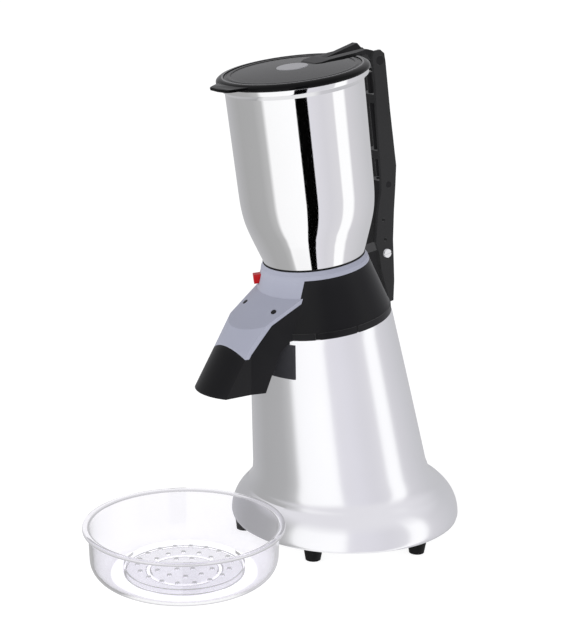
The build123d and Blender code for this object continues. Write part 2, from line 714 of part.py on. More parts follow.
def spout_plan(inset, mouth_low):
    """Plan of the spout: parallel at the mouth, wider towards the collar."""
    narrow = MOUTH_HALF_WIDTH - inset
    wide = THROAT_HALF_WIDTH - inset
    narrow_y = -128.0
    return plan([(-narrow, -260), (narrow, -260), (narrow, narrow_y), (wide, ROOF_START[0]),
                 (wide, 20), (-wide, 20), (-wide, ROOF_START[0]), (-narrow, narrow_y)], mouth_low, 300)


def spout_block(side=0.0, top=0.0, mouth_low=MOUTH_Z):
    """Whole spout as a solid; side insets its walls and back, top its roof and front."""
    profile = slab(spout_side(side, mouth_low), -60, 60) & below_roof(top)
    return profile & spout_plan(side, mouth_low) & spout_front(top, mouth_low)


def cover_zone():
    """Everything above the arched lower edge of the cover."""
    w = THROAT_HALF_WIDTH + 6
    y = 0
    edge = COVER_EDGE_Z
    rise_out = COVER_ARCH * (w / MOUTH_HALF_WIDTH) ** 2 - COVER_ARCH
    outline = Wire([
        ThreePointArc((-w, y, edge - rise_out), (0, y, edge + COVER_ARCH), (w, y, edge - rise_out)),
        Line((w, y, edge - rise_out), (w, y, 300)),
        Line((w, y, 300), (-w, y, 300)),
        Line((-w, y, 300), (-w, y, edge - rise_out)),
    ])
    return extrude(make_face(outline), amount=260, dir=(0, -1, 0))


def cover_screw_places():
    """Level plan places of the two roof screws."""
    y = ROOF_START[0] - 24.0
    return [(-22.5, y), (22.5, y)]


def at_roof(shape, x, y):
    """Put a piece drawn about the Z axis, with the roof at z = 0, square to the roof at a plan place."""
    side_tilt = math.degrees(math.asin(x / ROOF_RADIUS))
    return Pos(x, y, roof_z(x, y)) * Rot(math.degrees(ROOF_TILT), 0, 0) * Rot(0, side_tilt, 0) * shape


def cover_band():
    """Front sector of the collar's upper wall, which belongs to the cover, upright."""
    low = COLLAR_TOP_S - 26.0
    front = block(-COVER_HALF_WIDTH, COVER_HALF_WIDTH, -90, 0, low, COLLAR_TOP_S + 1)
    return (collar_cone() - collar_room() - tube(BREAKER_RADIUS + 3, 0, low - 1, COLLAR_TOP_S + 2)) & front


def cover_roof():
    """Roof and upper front of the cover."""
    layer = spout_block() - spout_block(side=-1.0, top=COVER_THICKNESS, mouth_low=MOUTH_Z - 1)
    return layer & cover_zone()


def spout_cover():
    """Grey shield: front band of the collar, roof and upper front of the spout."""
    roof = cover_roof() - lean(collar_cone(40))
    band = lean(cover_band()) - below_roof(COVER_THICKNESS)
    cover = roof + band
    for x, y in cover_screw_places():
        cover -= at_roof(tube(1.6, 0, -8, 4) + tube(COVER_HEAD_RADIUS + GAP, 0, -1.2, 6), x, y)
    cover -= button_window()
    return largest(cover)


def largest(shape):
    """The biggest solid of a cut."""
    return max(shape.solids(), key=lambda solid: solid.volume)


COVER_HEAD_RADIUS = 2.4


def cover_screws():
    """Two small screws sunk in the roof."""
    screws = []
    for x, y in cover_screw_places():
        screw = tube(COVER_HEAD_RADIUS, 0, -1.2, 0.3) + tube(1.5, 0, -9, -1.2)
        screw -= block(-3, 3, -0.4, 0.4, -0.3, 1)
        screws.append(at_roof(screw, x, y).solids()[0])
    return Compound(children=screws)


def spout_body():
    """Black chute from the collar's front to the mouth."""
    core = lean(collar_cone(40))
    shell = spout_block() - spout_block(side=SPOUT_WALL, top=SPOUT_WALL, mouth_low=MOUTH_Z - 5)
    for x, y in cover_screw_places():
        boss = at_roof(tube(4.0, 0, -14, 0), x, y)
        shell += boss & spout_block()
    shell -= core
    shell -= cone_solid(SWITCH_PLATE + GAP)
    shell -= cover_roof()
    for x, y in cover_screw_places():
        shell -= at_roof(tube(1.6, 0, -11, 4), x, y)
    return largest(shell)


# ---------------------------------------------------------------- collar and ring
def button_window():
    """Slot in the wall for the release button."""
    grow = GAP
    box = block(-BUTTON_WIDTH / 2 - grow, BUTTON_WIDTH / 2 + grow, -BUTTON_REACH - 5, -40,
                BUTTON_S - BUTTON_HEIGHT / 2 - grow, BUTTON_S + BUTTON_HEIGHT / 2 + grow)
    return lean(spin(box, BUTTON_ANGLE))


def collar():
    """Conical housing of the crushing chamber."""
    body = lean(collar_cone() - collar_room() - tube(BREAKER_RADIUS + RUN, 0, CONE_TOP_S, COLLAR_TOP_S + 1))
    body -= lean(cover_band()) - below_roof(COVER_THICKNESS)
    body -= cover_roof()
    channel = spout_block(side=SPOUT_WALL, top=SPOUT_WALL, mouth_low=MOUTH_Z - 5)
    body -= channel - lean(tube(90, 0, 100, FLOOR_TOP))
    for angle, width, height in ((51, 4.2, 6.2), (84, 2.2, 6.2)):
        notch = block(-width / 2, width / 2, -COLLAR_RADIUS - 5, -COLLAR_RADIUS + 1.6,
                      CONE_TOP_S - 1, CONE_TOP_S + height)
        for side in (-1, 1):
            body -= lean(spin(notch, side * angle))
    return largest(body - button_window())


def hopper_ring():
    """Grey ring that receives the hopper's neck, with a groove and entries for its lugs."""
    inner = NECK_RADIUS + GAP
    ring = turned([(inner, COLLAR_TOP_S), (COLLAR_TOP_RADIUS, COLLAR_TOP_S),
                   (COLLAR_TOP_RADIUS - 0.9, COLLAR_TOP_S + 3.6), (RING_TOP_RADIUS, RING_TOP_S),
                   (inner, RING_TOP_S)])
    ring -= tube(BREAKER_RADIUS + 2.7 + GAP, 0, COLLAR_TOP_S - 1, COLLAR_TOP_S + 1.2 + GAP)
    ring -= tube(LUG_RADIUS + GAP, 0, LUG_LOW - GAP, LUG_HIGH + GAP)
    entries = sectors(LUG_ANGLE / 2 + 2, LUG_FIRST_ANGLE + LUG_ANGLE + 5, LUG_LOW - 1, RING_TOP_S + 2)
    return largest(ring - (entries & tube(LUG_RADIUS + GAP, inner - 1, LUG_LOW, RING_TOP_S + 1)))


LUG_RADIUS = NECK_RADIUS + 1.3
LUG_LOW = COLLAR_TOP_S + 2.2
LUG_HIGH = LUG_LOW + 2.0


def hopper_gasket():
    return tube(RING_TOP_RADIUS + 0.3, NECK_RADIUS + GAP, RING_TOP_S, HOPPER_SEAT_S - GAP)


# ---------------------------------------------------------------- hopper
def hopper_outline(inset):
    """Half section edge of the hopper from the seat up to the rim, moved inwards by inset."""
    r_seat = RING_TOP_RADIUS - 0.3 - inset
    r_body = BODY_RADIUS - inset
    r_mouth = MOUTH_RADIUS - inset
    waist = (r_seat + 5.2, HOPPER_SEAT_S + 16)
    knee = (r_body - 3.4, SHOULDER_S - 20)
    return r_seat, waist, knee, r_body, r_mouth


def hopper_solid(inset, low, top):
    """Filled hopper."""
    r_seat, waist, knee, r_body, r_mouth = hopper_outline(inset)
    lines = [
        Line((0, 0, low), (r_seat, 0, low)),
        Line((r_seat, 0, low), (waist[0], 0, waist[1])),
        Line((waist[0], 0, waist[1]), (knee[0], 0, knee[1])),
        ThreePointArc((knee[0], 0, knee[1]), (r_body - 0.9, 0, SHOULDER_S - 10.5), (r_body, 0, SHOULDER_S)),
        Line((r_body, 0, SHOULDER_S), (r_mouth, 0, top)),
        Line((r_mouth, 0, top), (0, 0, top)),
        Line((0, 0, top), (0, 0, low)),
    ]
    return revolve(make_face(Wire(lines)), Axis.Z, 360)


def hopper():
    """Polished steel hopper with a rim band and a bayonet neck."""
    band_low = HOPPER_TOP_S - RIM_BAND_HEIGHT - RIM_FLARE_HEIGHT
    body = hopper_solid(0, HOPPER_SEAT_S, band_low) - hopper_solid(SHEET, HOPPER_SEAT_S + SHEET, band_low)
    body -= tube(NECK_RADIUS - SHEET, 0, HOPPER_SEAT_S - 1, HOPPER_SEAT_S + SHEET + 1)
    body += tube(NECK_RADIUS, NECK_RADIUS - SHEET, RING_TOP_S - NECK_DEPTH + 4, HOPPER_SEAT_S + SHEET)
    band_top = band_low + RIM_FLARE_HEIGHT
    body += turned([(MOUTH_RADIUS - SHEET, band_low), (MOUTH_RADIUS, band_low), (RIM_BAND_RADIUS, band_top),
                    (RIM_BAND_RADIUS, HOPPER_TOP_S), (RIM_BAND_RADIUS - SHEET, HOPPER_TOP_S),
                    (RIM_BAND_RADIUS - SHEET, band_top + 0.4), (MOUTH_RADIUS - SHEET, band_low + 0.6)])
    lugs = sectors(LUG_ANGLE / 2, LUG_FIRST_ANGLE, LUG_LOW - 1, LUG_HIGH + 1)
    return largest(body + (lugs & tube(LUG_RADIUS, NECK_RADIUS - SHEET / 2, LUG_LOW, LUG_HIGH)))


# ---------------------------------------------------------------- lid
DOME_EDGE_RADIUS = LID_RADIUS - LID_RIM_WIDTH
DOME_LOW_S = LID_TOP_S - 1.0


def dome(radius, low, height, thickness):
    """Shallow dome: spherical top, with a spherical or flat underside."""
    sphere_radius = (radius * radius + height * height) / (2 * height)
    top = Pos(0, 0, low + height - sphere_radius) * Sphere(sphere_radius)
    cap = top & tube(radius, 0, low, low + height + 1)
    if thickness:
        under = Pos(0, 0, low + height - thickness - sphere_radius) * Sphere(sphere_radius)
        cap = (cap + tube(radius, 0, low - thickness, low)) - under
    return cap


def lid_panel():
    return dome(DOME_EDGE_RADIUS + 1.5, DOME_LOW_S, LID_DOME + 1.0, LID_PANEL)


def lid_rim():
    """Glossy black rim with the front finger tab."""
    seat = DOME_EDGE_RADIUS + 1.5
    low, high = LID_LOW_S, LID_TOP_S
    corner = (LID_RADIUS - 1.56, 0, high - 0.89)
    side = Wire([
        Line((DOME_EDGE_RADIUS - 2.5, 0, low), (LID_RADIUS - 0.6, 0, low)),
        Line((LID_RADIUS - 0.6, 0, low), (LID_RADIUS, 0, low + 0.8)),
        Line((LID_RADIUS, 0, low + 0.8), (LID_RADIUS, 0, low + 1.8)),
        ThreePointArc((LID_RADIUS, 0, low + 1.8), corner, (LID_RADIUS - 4.2, 0, high)),
        Line((LID_RADIUS - 4.2, 0, high), (seat, 0, high)),
        Line((seat, 0, high), (seat, 0, DOME_LOW_S - LID_PANEL)),
        Line((seat, 0, DOME_LOW_S - LID_PANEL), (DOME_EDGE_RADIUS - 2.5, 0, DOME_LOW_S - LID_PANEL)),
        Line((DOME_EDGE_RADIUS - 2.5, 0, DOME_LOW_S - LID_PANEL), (DOME_EDGE_RADIUS - 2.5, 0, low)),
    ])
    body = revolve(make_face(side), Axis.Z, 360)
    half = TAB_HALF_WIDTH
    tab = plan([(-half - 9, -62), (-half, -TAB_REACH + 3), (-half + 3, -TAB_REACH), (half - 3, -TAB_REACH),
                (half, -TAB_REACH + 3), (half + 9, -62)], low + 1.0, low + 3.6)
    return body + (tab - tube(LID_RADIUS - 5, 0, low - 1, high))


def lid_top_solid():
    """Space below the top of the lid."""
    crown = dome(DOME_EDGE_RADIUS + 1.5, DOME_LOW_S, LID_DOME + 1.0, 0)
    return crown + tube(LID_RADIUS + 1, 0, LID_LOW_S - 1, DOME_LOW_S + 1.0)


LID_CROWN_S = DOME_LOW_S + LID_DOME + 1.0


def lid_cap():
    """Round bright button in the middle of the lid."""
    cap = tube(CAP_RADIUS, 0, LID_CROWN_S - 1.2, LID_CROWN_S + CAP_PROUD)
    cap = fillet(cap.edges().group_by(Axis.Z)[-1], CAP_PROUD / 2)
    return cap - lid_top_solid()


def lid_arm():
    """Arm from the lid's middle to the pivot, with a raised thumb rest and the cam for the rod."""
    side = [(ARM_FRONT_Y, LID_LOW_S + 2), (ARM_FRONT_Y, ARM_TOP_S - 2.0),
            (ARM_FRONT_Y + 3, ARM_TOP_S - 1.0), (32, ARM_TOP_S), (76, ARM_TOP_S),
            (HINGE_Y + 2, HINGE_S + KNUCKLE_RADIUS - 0.4), (HINGE_Y, HINGE_S),
            (HINGE_Y - KNUCKLE_RADIUS + 0.3, HINGE_S + 1), (LID_RADIUS + 6.5, LID_LOW_S + 3.4),
            (LID_RADIUS - 4, LID_TOP_S - 1)]
    pad = ARM_PAD_HALF_WIDTH
    w = ARM_HALF_WIDTH
    right = [(pad - 5, ARM_FRONT_Y), (pad, ARM_FRONT_Y + 7), (pad, 60), (w, 74), (w, HINGE_Y + 30)]
    left = [(-x, y) for x, y in reversed(right)]
    outline = plan(right + left, LID_LOW_S - 40, THUMB_S + 25)
    arm = slab(side, -pad, pad) & outline
    arm -= lid_top_solid()
    arm = largest(arm)
    rib_low = ARM_TOP_S - 1.0
    arm += slab([(34, rib_low), (34, ARM_TOP_S), (71, THUMB_S), (76, ARM_TOP_S), (76, rib_low)],
                -THUMB_HALF_WIDTH, THUMB_HALF_WIDTH)
    arm += rod_x(KNUCKLE_RADIUS, -w, w, HINGE_Y, HINGE_S)
    reach = CAM_RADIUS
    half = reach * math.tan(math.radians(CAM_HALF_ANGLE))
    arm += slab([(HINGE_Y - half, HINGE_S - reach), (HINGE_Y + half, HINGE_S - reach),
                 (HINGE_Y + half, HINGE_S), (HINGE_Y - half, HINGE_S)], -4, 4)
    arm -= rod_x(PIN_RADIUS, -w - 1, w + 1, HINGE_Y, HINGE_S)
    return arm


def hinge_pin():
    """Pin of the lid, held in the arm and running in the column's cheeks."""
    return rod_x(PIN_RADIUS, -COLUMN_HALF_WIDTH, COLUMN_HALF_WIDTH, HINGE_Y, HINGE_S)


# ---------------------------------------------------------------- column
def column_outline():
    """Side view of the column, from its foot behind the collar up to the pivot."""
    front = [(70.7, 209.5), (67.5, 227.0), (64.6, 243.0), (63.6, 262.0), (61.5, 270.5), (68.0, 300.6),
             (73.7, 318.0), (74.9, 330.0), (77.0, 393.0), (79.0, HINGE_S - 16.5), (78.0, HINGE_S + 4.5)]
    top = [(81.0, HINGE_S + 9.5), (88.0, HINGE_S + 9.5), (92.0, HINGE_S + 5.5)]
    rear = [(92.6, HINGE_S - 2.5), (92.6, 389.0), (93.6, 337.0), (90.6, 319.3), (86.0, 295.4),
            (81.6, 268.0), (80.2, 250.0), (78.4, 229.0), (75.1, 209.5)]
    return front + top + rear


def column_room():
    """Side view of the channel's inside, open to the front."""
    rear = [(120, HINGE_S - 15.5), (89.6, HINGE_S - 18.5), (89.6, 389.0), (90.5, 337.0), (87.4, 319.3),
            (82.8, 295.4), (78.5, 268.0), (77.1, 250.0), (75.3, 229.0), (72.0, 209.0), (72.0, 190.0)]
    top = HINGE_S + 33.5
    return [(30, 190), (30, top), (120, top)] + rear


def column():
    """Channel open to the front, with two guides for the safety rod."""
    w = COLUMN_HALF_WIDTH
    inner = w - COLUMN_WALL
    body = slab(column_outline(), -w, w) - slab(column_room(), -inner, inner)
    for low in GUIDE_LEVELS:
        guide = block(-inner, inner, ROD_Y - 5, 100, low, low + GUIDE_HEIGHT)
        body += guide & slab(column_outline(), -w, w)
    body -= tube(ROD_RADIUS + RUN, 0, ROD_LOW, ROD_TOP + 20, 0, ROD_Y)
    body -= rod_x(PIN_RADIUS + RUN, -w - 1, w + 1, HINGE_Y, HINGE_S)
    body -= rod_x(SCREW_RADIUS + RUN, -w - 1, w + 1, SCREW_Y, SCREW_S)
    body -= rod_x(CROSS_PIN_RADIUS + RUN, -w - 1, w + 1, *CROSS_PIN)
    for y, s in ((72.6, 289.6), (72.7, 270.6)):
        body -= rod_x(1.8, -w - 1, w + 1, y, s)
    return body


SCREW_RADIUS = 2.5
CROSS_PIN = (82.6, 321.3)
CROSS_PIN_RADIUS = 3.1
GUIDE_LEVELS = (345.0, HINGE_S - 38.5)
GUIDE_HEIGHT = 8.0


def column_pin():
    """Cross pin that carries the safety switch."""
    w = COLUMN_HALF_WIDTH
    return rod_x(CROSS_PIN_RADIUS, -w, w, *CROSS_PIN)


def column_bracket():
    """Block behind the collar that fills the foot of the column's channel."""
    half = COLUMN_HALF_WIDTH - COLUMN_WALL - GAP
    rear = [(78.5, 268.0), (77.1, 250.0), (75.3, 229.0), (72.0, 209.0)]
    side = [(30, 216.0), (30, 262.0), (77.4, 262.0)]
    side += [(y - GAP, s) for y, s in rear[1:3]] + [(72.5, 216.0)]
    body = slab(side, -half, half) - collar_cone()
    body -= rod_x(SCREW_RADIUS + RUN, -half - 1, half + 1, SCREW_Y, SCREW_S)
    return lean(largest(body))


def column_screws():
    """Chrome pan-head screws through the column's cheeks into the bracket."""
    screws = []
    for side in (-1, 1):
        low, high = sorted((side * 4.0, side * COLUMN_HALF_WIDTH))
        screw = rod_x(SCREW_RADIUS, low, high, SCREW_Y, SCREW_S)
        low, high = sorted((side * COLUMN_HALF_WIDTH, side * (COLUMN_HALF_WIDTH + 2.4)))
        screw += rod_x(4.0, low, high, SCREW_Y, SCREW_S)
        low, high = sorted((side * (COLUMN_HALF_WIDTH + 1.6), side * (COLUMN_HALF_WIDTH + 3)))
        screw -= block(low, high, SCREW_Y - 5, SCREW_Y + 5, SCREW_S - 0.5, SCREW_S + 0.5)
        screws.append(lean(screw).solids()[0])
    return Compound(children=screws)


ROD_Y = HINGE_Y - 2.2
ROD_TOP = HINGE_S - CAM_RADIUS - ROD_GAP
ROD_LOW = 327.4


def safety_rod():
    """Rod inside the column that follows the lid's cam."""
    return tube(ROD_RADIUS, 0, ROD_LOW, ROD_TOP, 0, ROD_Y)


def safety_switch():
    """Microswitch on the cross pin below the rod."""
    body = block(-9, 9, 77.0, 85.4, 314.0, ROD_LOW - 2.4)
    body += tube(2.2, 0, ROD_LOW - 2.6, ROD_LOW - GAP, 0, ROD_Y - 1.5)
    return body - rod_x(CROSS_PIN_RADIUS + RUN, -10, 10, *CROSS_PIN)


# ---------------------------------------------------------------- release button
def release_button():
    """Red button through the cover's side, with a shoulder that keeps it in."""
    low, high = BUTTON_S - BUTTON_HEIGHT / 2, BUTTON_S + BUTTON_HEIGHT / 2
    half = BUTTON_WIDTH / 2
    button = block(-half, half, -BUTTON_REACH, -49.0, low, high)
    button = fillet(button.edges().filter_by(Axis.Y), 1.8)
    return button


# ---------------------------------------------------------------- ice bowl
def bowl_solid(inset, low, top):
    """Filled bowl about its own axis."""
    wall_r = BOWL_RADIUS - BOWL_LIP - inset
    foot_r = wall_r - BOWL_DRAFT
    corner = BOWL_CORNER - inset
    part = corner * (1 - math.sqrt(0.5))
    lines = [
        Line((0, 0, low), (foot_r - corner, 0, low)),
        ThreePointArc((foot_r - corner, 0, low), (foot_r - part, 0, low + part), (foot_r, 0, low + corner)),
        Line((foot_r, 0, low + corner), (wall_r, 0, top)),
        Line((wall_r, 0, top), (0, 0, top)),
        Line((0, 0, top), (0, 0, low)),
    ]
    return revolve(make_face(Wire(lines)), Axis.Z, 360)


def ice_bowl():
    """Clear bowl with a rolled lip."""
    body = bowl_solid(0, 0.0, BOWL_HEIGHT) - bowl_solid(BOWL_WALL, BOWL_WALL, BOWL_HEIGHT + 1)
    lip = tube(BOWL_RADIUS, BOWL_RADIUS - BOWL_LIP - 1.0, BOWL_HEIGHT - 2.4, BOWL_HEIGHT)
    body += lip
    body = Pos(BOWL_X, BOWL_Y, 0) * body
    return body


def drain_plate():
    """Clear perforated plate that keeps the ice out of the melt water."""
    low = BOWL_WALL + GAP + DRAIN_LIFT
    plate = tube(DRAIN_RADIUS, 0, low, low + DRAIN_THICKNESS)
    plate += tube(DRAIN_RADIUS, DRAIN_RADIUS - 2, BOWL_WALL + GAP, low)
    for ring_radius, count in ((14, 6), (28, 12), (42, 18)):
        for i in range(count):
            turn = 2 * math.pi * i / count
            x, y = ring_radius * math.cos(turn), ring_radius * math.sin(turn)
            plate -= tube(2.2, 0, low - 1, low + 4, x, y)
    return Pos(BOWL_X, BOWL_Y, 0) * plate


# ---------------------------------------------------------------- write every node
def main():
    os.makedirs("parts", exist_ok=True)
    save("base_casting", base_casting())
    save("bottom_plate", bottom_plate())
    for number, (x, y) in enumerate(foot_places(), start=1):
        save(f"foot_{number}", foot(x, y))
    save("foot_screws", foot_screws())
    save("switch_plate", switch_plate())
    save("switch_body", switch_body())
    save("switch_rocker", switch_rocker())
    save("cord_gland", cord_gland())
    save("gland_nut", gland_nut())
    save("motor_housing", lean(motor_housing()))
    save("motor_lower_bell", lean(motor_bell(MOTOR_LOW, LOW_BEARING_S)))
    save("motor_upper_bell", lean(motor_bell(MOTOR_TOP - BELL_THICKNESS, HIGH_BEARING_S)))
    save("lower_bearing", lean(bearing(LOW_BEARING_S)))
    save("upper_bearing", lean(bearing(HIGH_BEARING_S)))
    save("stator", lean(stator()))
    save("motor_bolts", motor_bolts())
    save("rotor", lean(rotor()))
    save("drive_shaft", lean(drive_shaft()))
    save("cooling_fan", lean(cooling_fan()))
    save("run_capacitor", run_capacitor())
    save("terminal_block", terminal_block())
    save("chamber_floor", lean(chamber_floor()))
    save("floor_screws", floor_screws())
    save("shaft_seal", lean(shaft_seal()))
    save("ejector", lean(ejector()))
    save("blade_disc", lean(blade_disc()))
    save("blades", blades())
    save("blade_nut", lean(blade_nut()))
    save("breaker_ring", lean(breaker_ring()))
    save("collar", collar())
    save("spout_body", spout_body())
    save("spout_cover", spout_cover())
    save("cover_screws", cover_screws())
    save("hopper_ring", lean(hopper_ring()))
    save("hopper_gasket", lean(hopper_gasket()))
    save("hopper", lean(hopper()))
    save("lid_panel", lean(lid_panel()))
    save("lid_rim", lean(lid_rim()))
    save("lid_cap", lean(lid_cap()))
    save("lid_arm", lean(lid_arm()))
    save("hinge_pin", lean(hinge_pin()))
    save("column", lean(column()))
    save("column_pin", lean(column_pin()))
    save("column_bracket", column_bracket())
    save("column_screws", column_screws())
    save("safety_rod", lean(safety_rod()))
    save("safety_switch", lean(safety_switch()))
    save("release_button", lean(spin(release_button(), BUTTON_ANGLE)))
    save("ice_bowl", ice_bowl())
    save("drain_plate", drain_plate())


main()
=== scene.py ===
import json
import math

import bmesh
import bpy
from mathutils import Matrix, Vector


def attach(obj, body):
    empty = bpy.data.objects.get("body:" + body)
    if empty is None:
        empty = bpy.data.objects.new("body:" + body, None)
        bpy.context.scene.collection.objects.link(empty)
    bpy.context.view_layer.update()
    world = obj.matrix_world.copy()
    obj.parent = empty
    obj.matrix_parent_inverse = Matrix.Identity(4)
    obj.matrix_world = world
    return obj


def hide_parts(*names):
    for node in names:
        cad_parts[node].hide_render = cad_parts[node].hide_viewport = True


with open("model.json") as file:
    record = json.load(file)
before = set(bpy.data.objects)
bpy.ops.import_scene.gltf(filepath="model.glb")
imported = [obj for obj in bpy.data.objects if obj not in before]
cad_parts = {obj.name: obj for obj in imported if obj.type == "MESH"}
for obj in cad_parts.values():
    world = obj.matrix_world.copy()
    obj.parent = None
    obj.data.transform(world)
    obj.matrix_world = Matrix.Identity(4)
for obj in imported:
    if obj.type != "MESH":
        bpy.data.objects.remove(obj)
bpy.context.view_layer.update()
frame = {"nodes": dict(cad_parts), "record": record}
nodes = frame["nodes"]

MM = 0.001
FRAME_Y = 87.25             # the saved origin lies this far in front of the foot's centre
LEAN = math.radians(8.88)
LEVEL = Matrix.Translation((0, FRAME_Y * MM, 0))
MACHINE = LEVEL @ Matrix.Rotation(LEAN, 4, "X")
WHITE = (1.0, 1.0, 1.0, 1)


# ---------------------------------------------------------------- camera
def add_camera():
    """The photograph's viewpoint."""
    azimuth, pan = math.radians(52.019), math.radians(-2.122)
    tilt, roll = math.radians(14.387), math.radians(0.722)
    distance, height, lens = 1.44265, 0.57846, 91.268
    up = Vector((0, 0, 1))
    ahead = Vector((-math.sin(azimuth), math.cos(azimuth), 0))
    aside = Vector((math.cos(azimuth), math.sin(azimuth), 0))
    forward = math.cos(pan) * ahead + math.sin(pan) * aside
    right = math.cos(pan) * aside - math.sin(pan) * ahead
    look = math.cos(tilt) * forward - math.sin(tilt) * up
    top = math.cos(tilt) * up + math.sin(tilt) * forward
    x = math.cos(roll) * right + math.sin(roll) * top
    y = math.cos(roll) * top - math.sin(roll) * right
    camera = bpy.data.objects.new("camera", bpy.data.cameras.new("camera"))
    camera.data.lens = lens
    camera.data.sensor_width = 36
    camera.data.clip_end = 100
    place = Vector((math.sin(azimuth) * distance, -math.cos(azimuth) * distance + FRAME_Y * MM, height))
    camera.matrix_world = Matrix(((x.x, y.x, -look.x, place.x), (x.y, y.y, -look.y, place.y),
                                  (x.z, y.z, -look.z, place.z), (0, 0, 0, 1)))
    bpy.context.scene.collection.objects.link(camera)
    bpy.context.scene.camera = camera


# ---------------------------------------------------------------- mesh helpers
FINE = 160                  # vertices round the large shells
SHARP_ANGLE = 35            # degrees from which an edge of a new piece stays sharp


def finish_mesh(name, bm, matrix):
    """Object from a bmesh in millimetres, smooth but for its sharp edges."""
    bmesh.ops.remove_doubles(bm, verts=bm.verts, dist=0.001)
    bmesh.ops.recalc_face_normals(bm, faces=bm.faces)
    mesh = bpy.data.meshes.new(name)
    bm.to_mesh(mesh)
    bm.free()
    mesh.transform(matrix @ Matrix.Scale(MM, 4))
    mesh.polygons.foreach_set("use_smooth", [True] * len(mesh.polygons))
    mesh.set_sharp_from_angle(angle=math.radians(SHARP_ANGLE))
    piece = bpy.data.objects.new(name, mesh)
    bpy.context.scene.collection.objects.link(piece)
    return piece


def rounded(corners, steps):
    """Closed outline of (radius, height, fillet) corners, each with its own fillet."""
    points = []
    count = len(corners)
    for i, (r, z, fillet) in enumerate(corners):
        here = Vector((r, z))
        before = Vector(corners[i - 1][:2]) - here
        after = Vector(corners[(i + 1) % count][:2]) - here
        cut = min(fillet, before.length * 0.49, after.length * 0.49)
        if cut <= 0:
            points.append((r, z))
            continue
        start, end = here + before.normalized() * cut, here + after.normalized() * cut
        for k in range(steps + 1):
            t = k / steps
            p = start * (1 - t) ** 2 + here * 2 * t * (1 - t) + end * t ** 2
            points.append((p.x, p.y))
    return points


def curve(points, steps):
    """Smooth open line through (radius, height) points."""
    ends = [points[0]] + list(points) + [points[-1]]
    line = []
    for i in range(1, len(ends) - 2):
        a, b, c, d = (Vector(p) for p in ends[i - 1:i + 3])
        for k in range(steps):
            t = k / steps
            square, cube = 2 * a - 5 * b + 4 * c - d, 3 * b - a - 3 * c + d
            p = 0.5 * (2 * b + (c - a) * t + square * t * t + cube * t ** 3)
            line.append((p.x, p.y))
    return line + [tuple(points[-1])]


def round_ring(bm, segments, r, z, y=0.0, tilt=0.0):
    """Ring of vertices about a centre on the Y axis, tilted about X."""
    ring = []
    for j in range(segments):
        turn = 2 * math.pi * j / segments
        depth = r * math.sin(turn)
        ring.append(bm.verts.new((r * math.cos(turn), y + depth * math.cos(tilt),
                                  z + depth * math.sin(tilt))))
    return ring


def rings_between(bm, rings):
    """Quads between neighbouring rings of vertices, and from the last ring to the first."""
    count = len(rings[0])
    for low, high in zip(rings, rings[1:] + rings[:1]):
        for j in range(count):
            k = (j + 1) % count
            corners = [low[j], low[k], high[k], high[j]]
            if len({tuple(v.co) for v in corners}) > 2:
                bm.faces.new(corners)


def lathe(name, outline, matrix, segments=128):
    """Body turned about Z from a closed outline of (radius, height) points."""
    bm = bmesh.new()
    rings_between(bm, [round_ring(bm, segments, r, z) for r, z in outline])
    bmesh.ops.dissolve_degenerate(bm, dist=0.0005, edges=bm.edges)
    return finish_mesh(name, bm, matrix)


def loft(name, rings, matrix):
    """Closed body through round rings of (centre y, centre z, radius, tilt about X)."""
    bm = bmesh.new()
    rings_between(bm, [round_ring(bm, FINE, radius, z, y, tilt) for y, z, radius, tilt in rings])
    return finish_mesh(name, bm, matrix)


def prism(bm, outline, low, high, bevel):
    """Upright block of a plan outline with a rounded edge, added to bm."""
    before = set(bm.verts)
    bottom = [bm.verts.new((x, y, low)) for x, y in outline]
    top = [bm.verts.new((x, y, high)) for x, y in outline]
    bm.faces.new(bottom[::-1])
    bm.faces.new(top)
    count = len(outline)
    for i in range(count):
        k = (i + 1) % count
        bm.faces.new([bottom[i], bottom[k], top[k], top[i]])
    fresh = [v for v in bm.verts if v not in before]
    edges = {e for v in fresh for e in v.link_edges}
    bmesh.ops.bevel(bm, geom=list(edges), offset=bevel, segments=3, affect="EDGES", profile=0.6)


# ---------------------------------------------------------------- materials
CREASE_SHADE_REACH, BUMP_HEIGHT = 0.0035, 0.0003    # in metres
CLOUD_SPAN = (0.3, 0.7)     # noise between the darker and the lighter colour
WEAR_SPAN = (0.52, 0.62)    # pointiness between a sound edge and a worn one
CREASE_SHADE_SPAN = (0.35, 0.85)    # openness between a crease in full painted shade and an open face
EDGE_ANGLE = 32             # degrees from which an edge of a carried-over node is hard
EDGE_ROUND = 0.35           # width of its rounding, in millimetres


def link(tree, source, target):
    tree.links.new(source, target)


def graded(tree, value, start, end, low=0.0, high=1.0):
    """Goes from low to high as the value goes from start to end."""
    node = tree.nodes.new("ShaderNodeMapRange")
    for name, number in (("From Min", start), ("From Max", end), ("To Min", low), ("To Max", high)):
        node.inputs[name].default_value = number
    link(tree, value, node.inputs["Value"])
    return node.outputs["Result"]


def mixed(tree, share, first, second):
    """Blend of two colours, each a value or a socket."""
    node = tree.nodes.new("ShaderNodeMix")
    node.data_type = "RGBA"
    link(tree, share, node.inputs["Factor"])
    for name, colour in (("A", first), ("B", second)):
        if isinstance(colour, tuple):
            node.inputs[name].default_value = colour
        else:
            link(tree, colour, node.inputs[name])
    return node.outputs["Result"]


def noise(tree, scale, detail):
    """Noise in the object's own coordinates."""
    place = tree.nodes.new("ShaderNodeTexCoord")
    node = tree.nodes.new("ShaderNodeTexNoise")
    node.inputs["Scale"].default_value = scale
    node.inputs["Detail"].default_value = detail
    link(tree, place.outputs["Object"], node.inputs["Vector"])
    return node.outputs["Fac"]


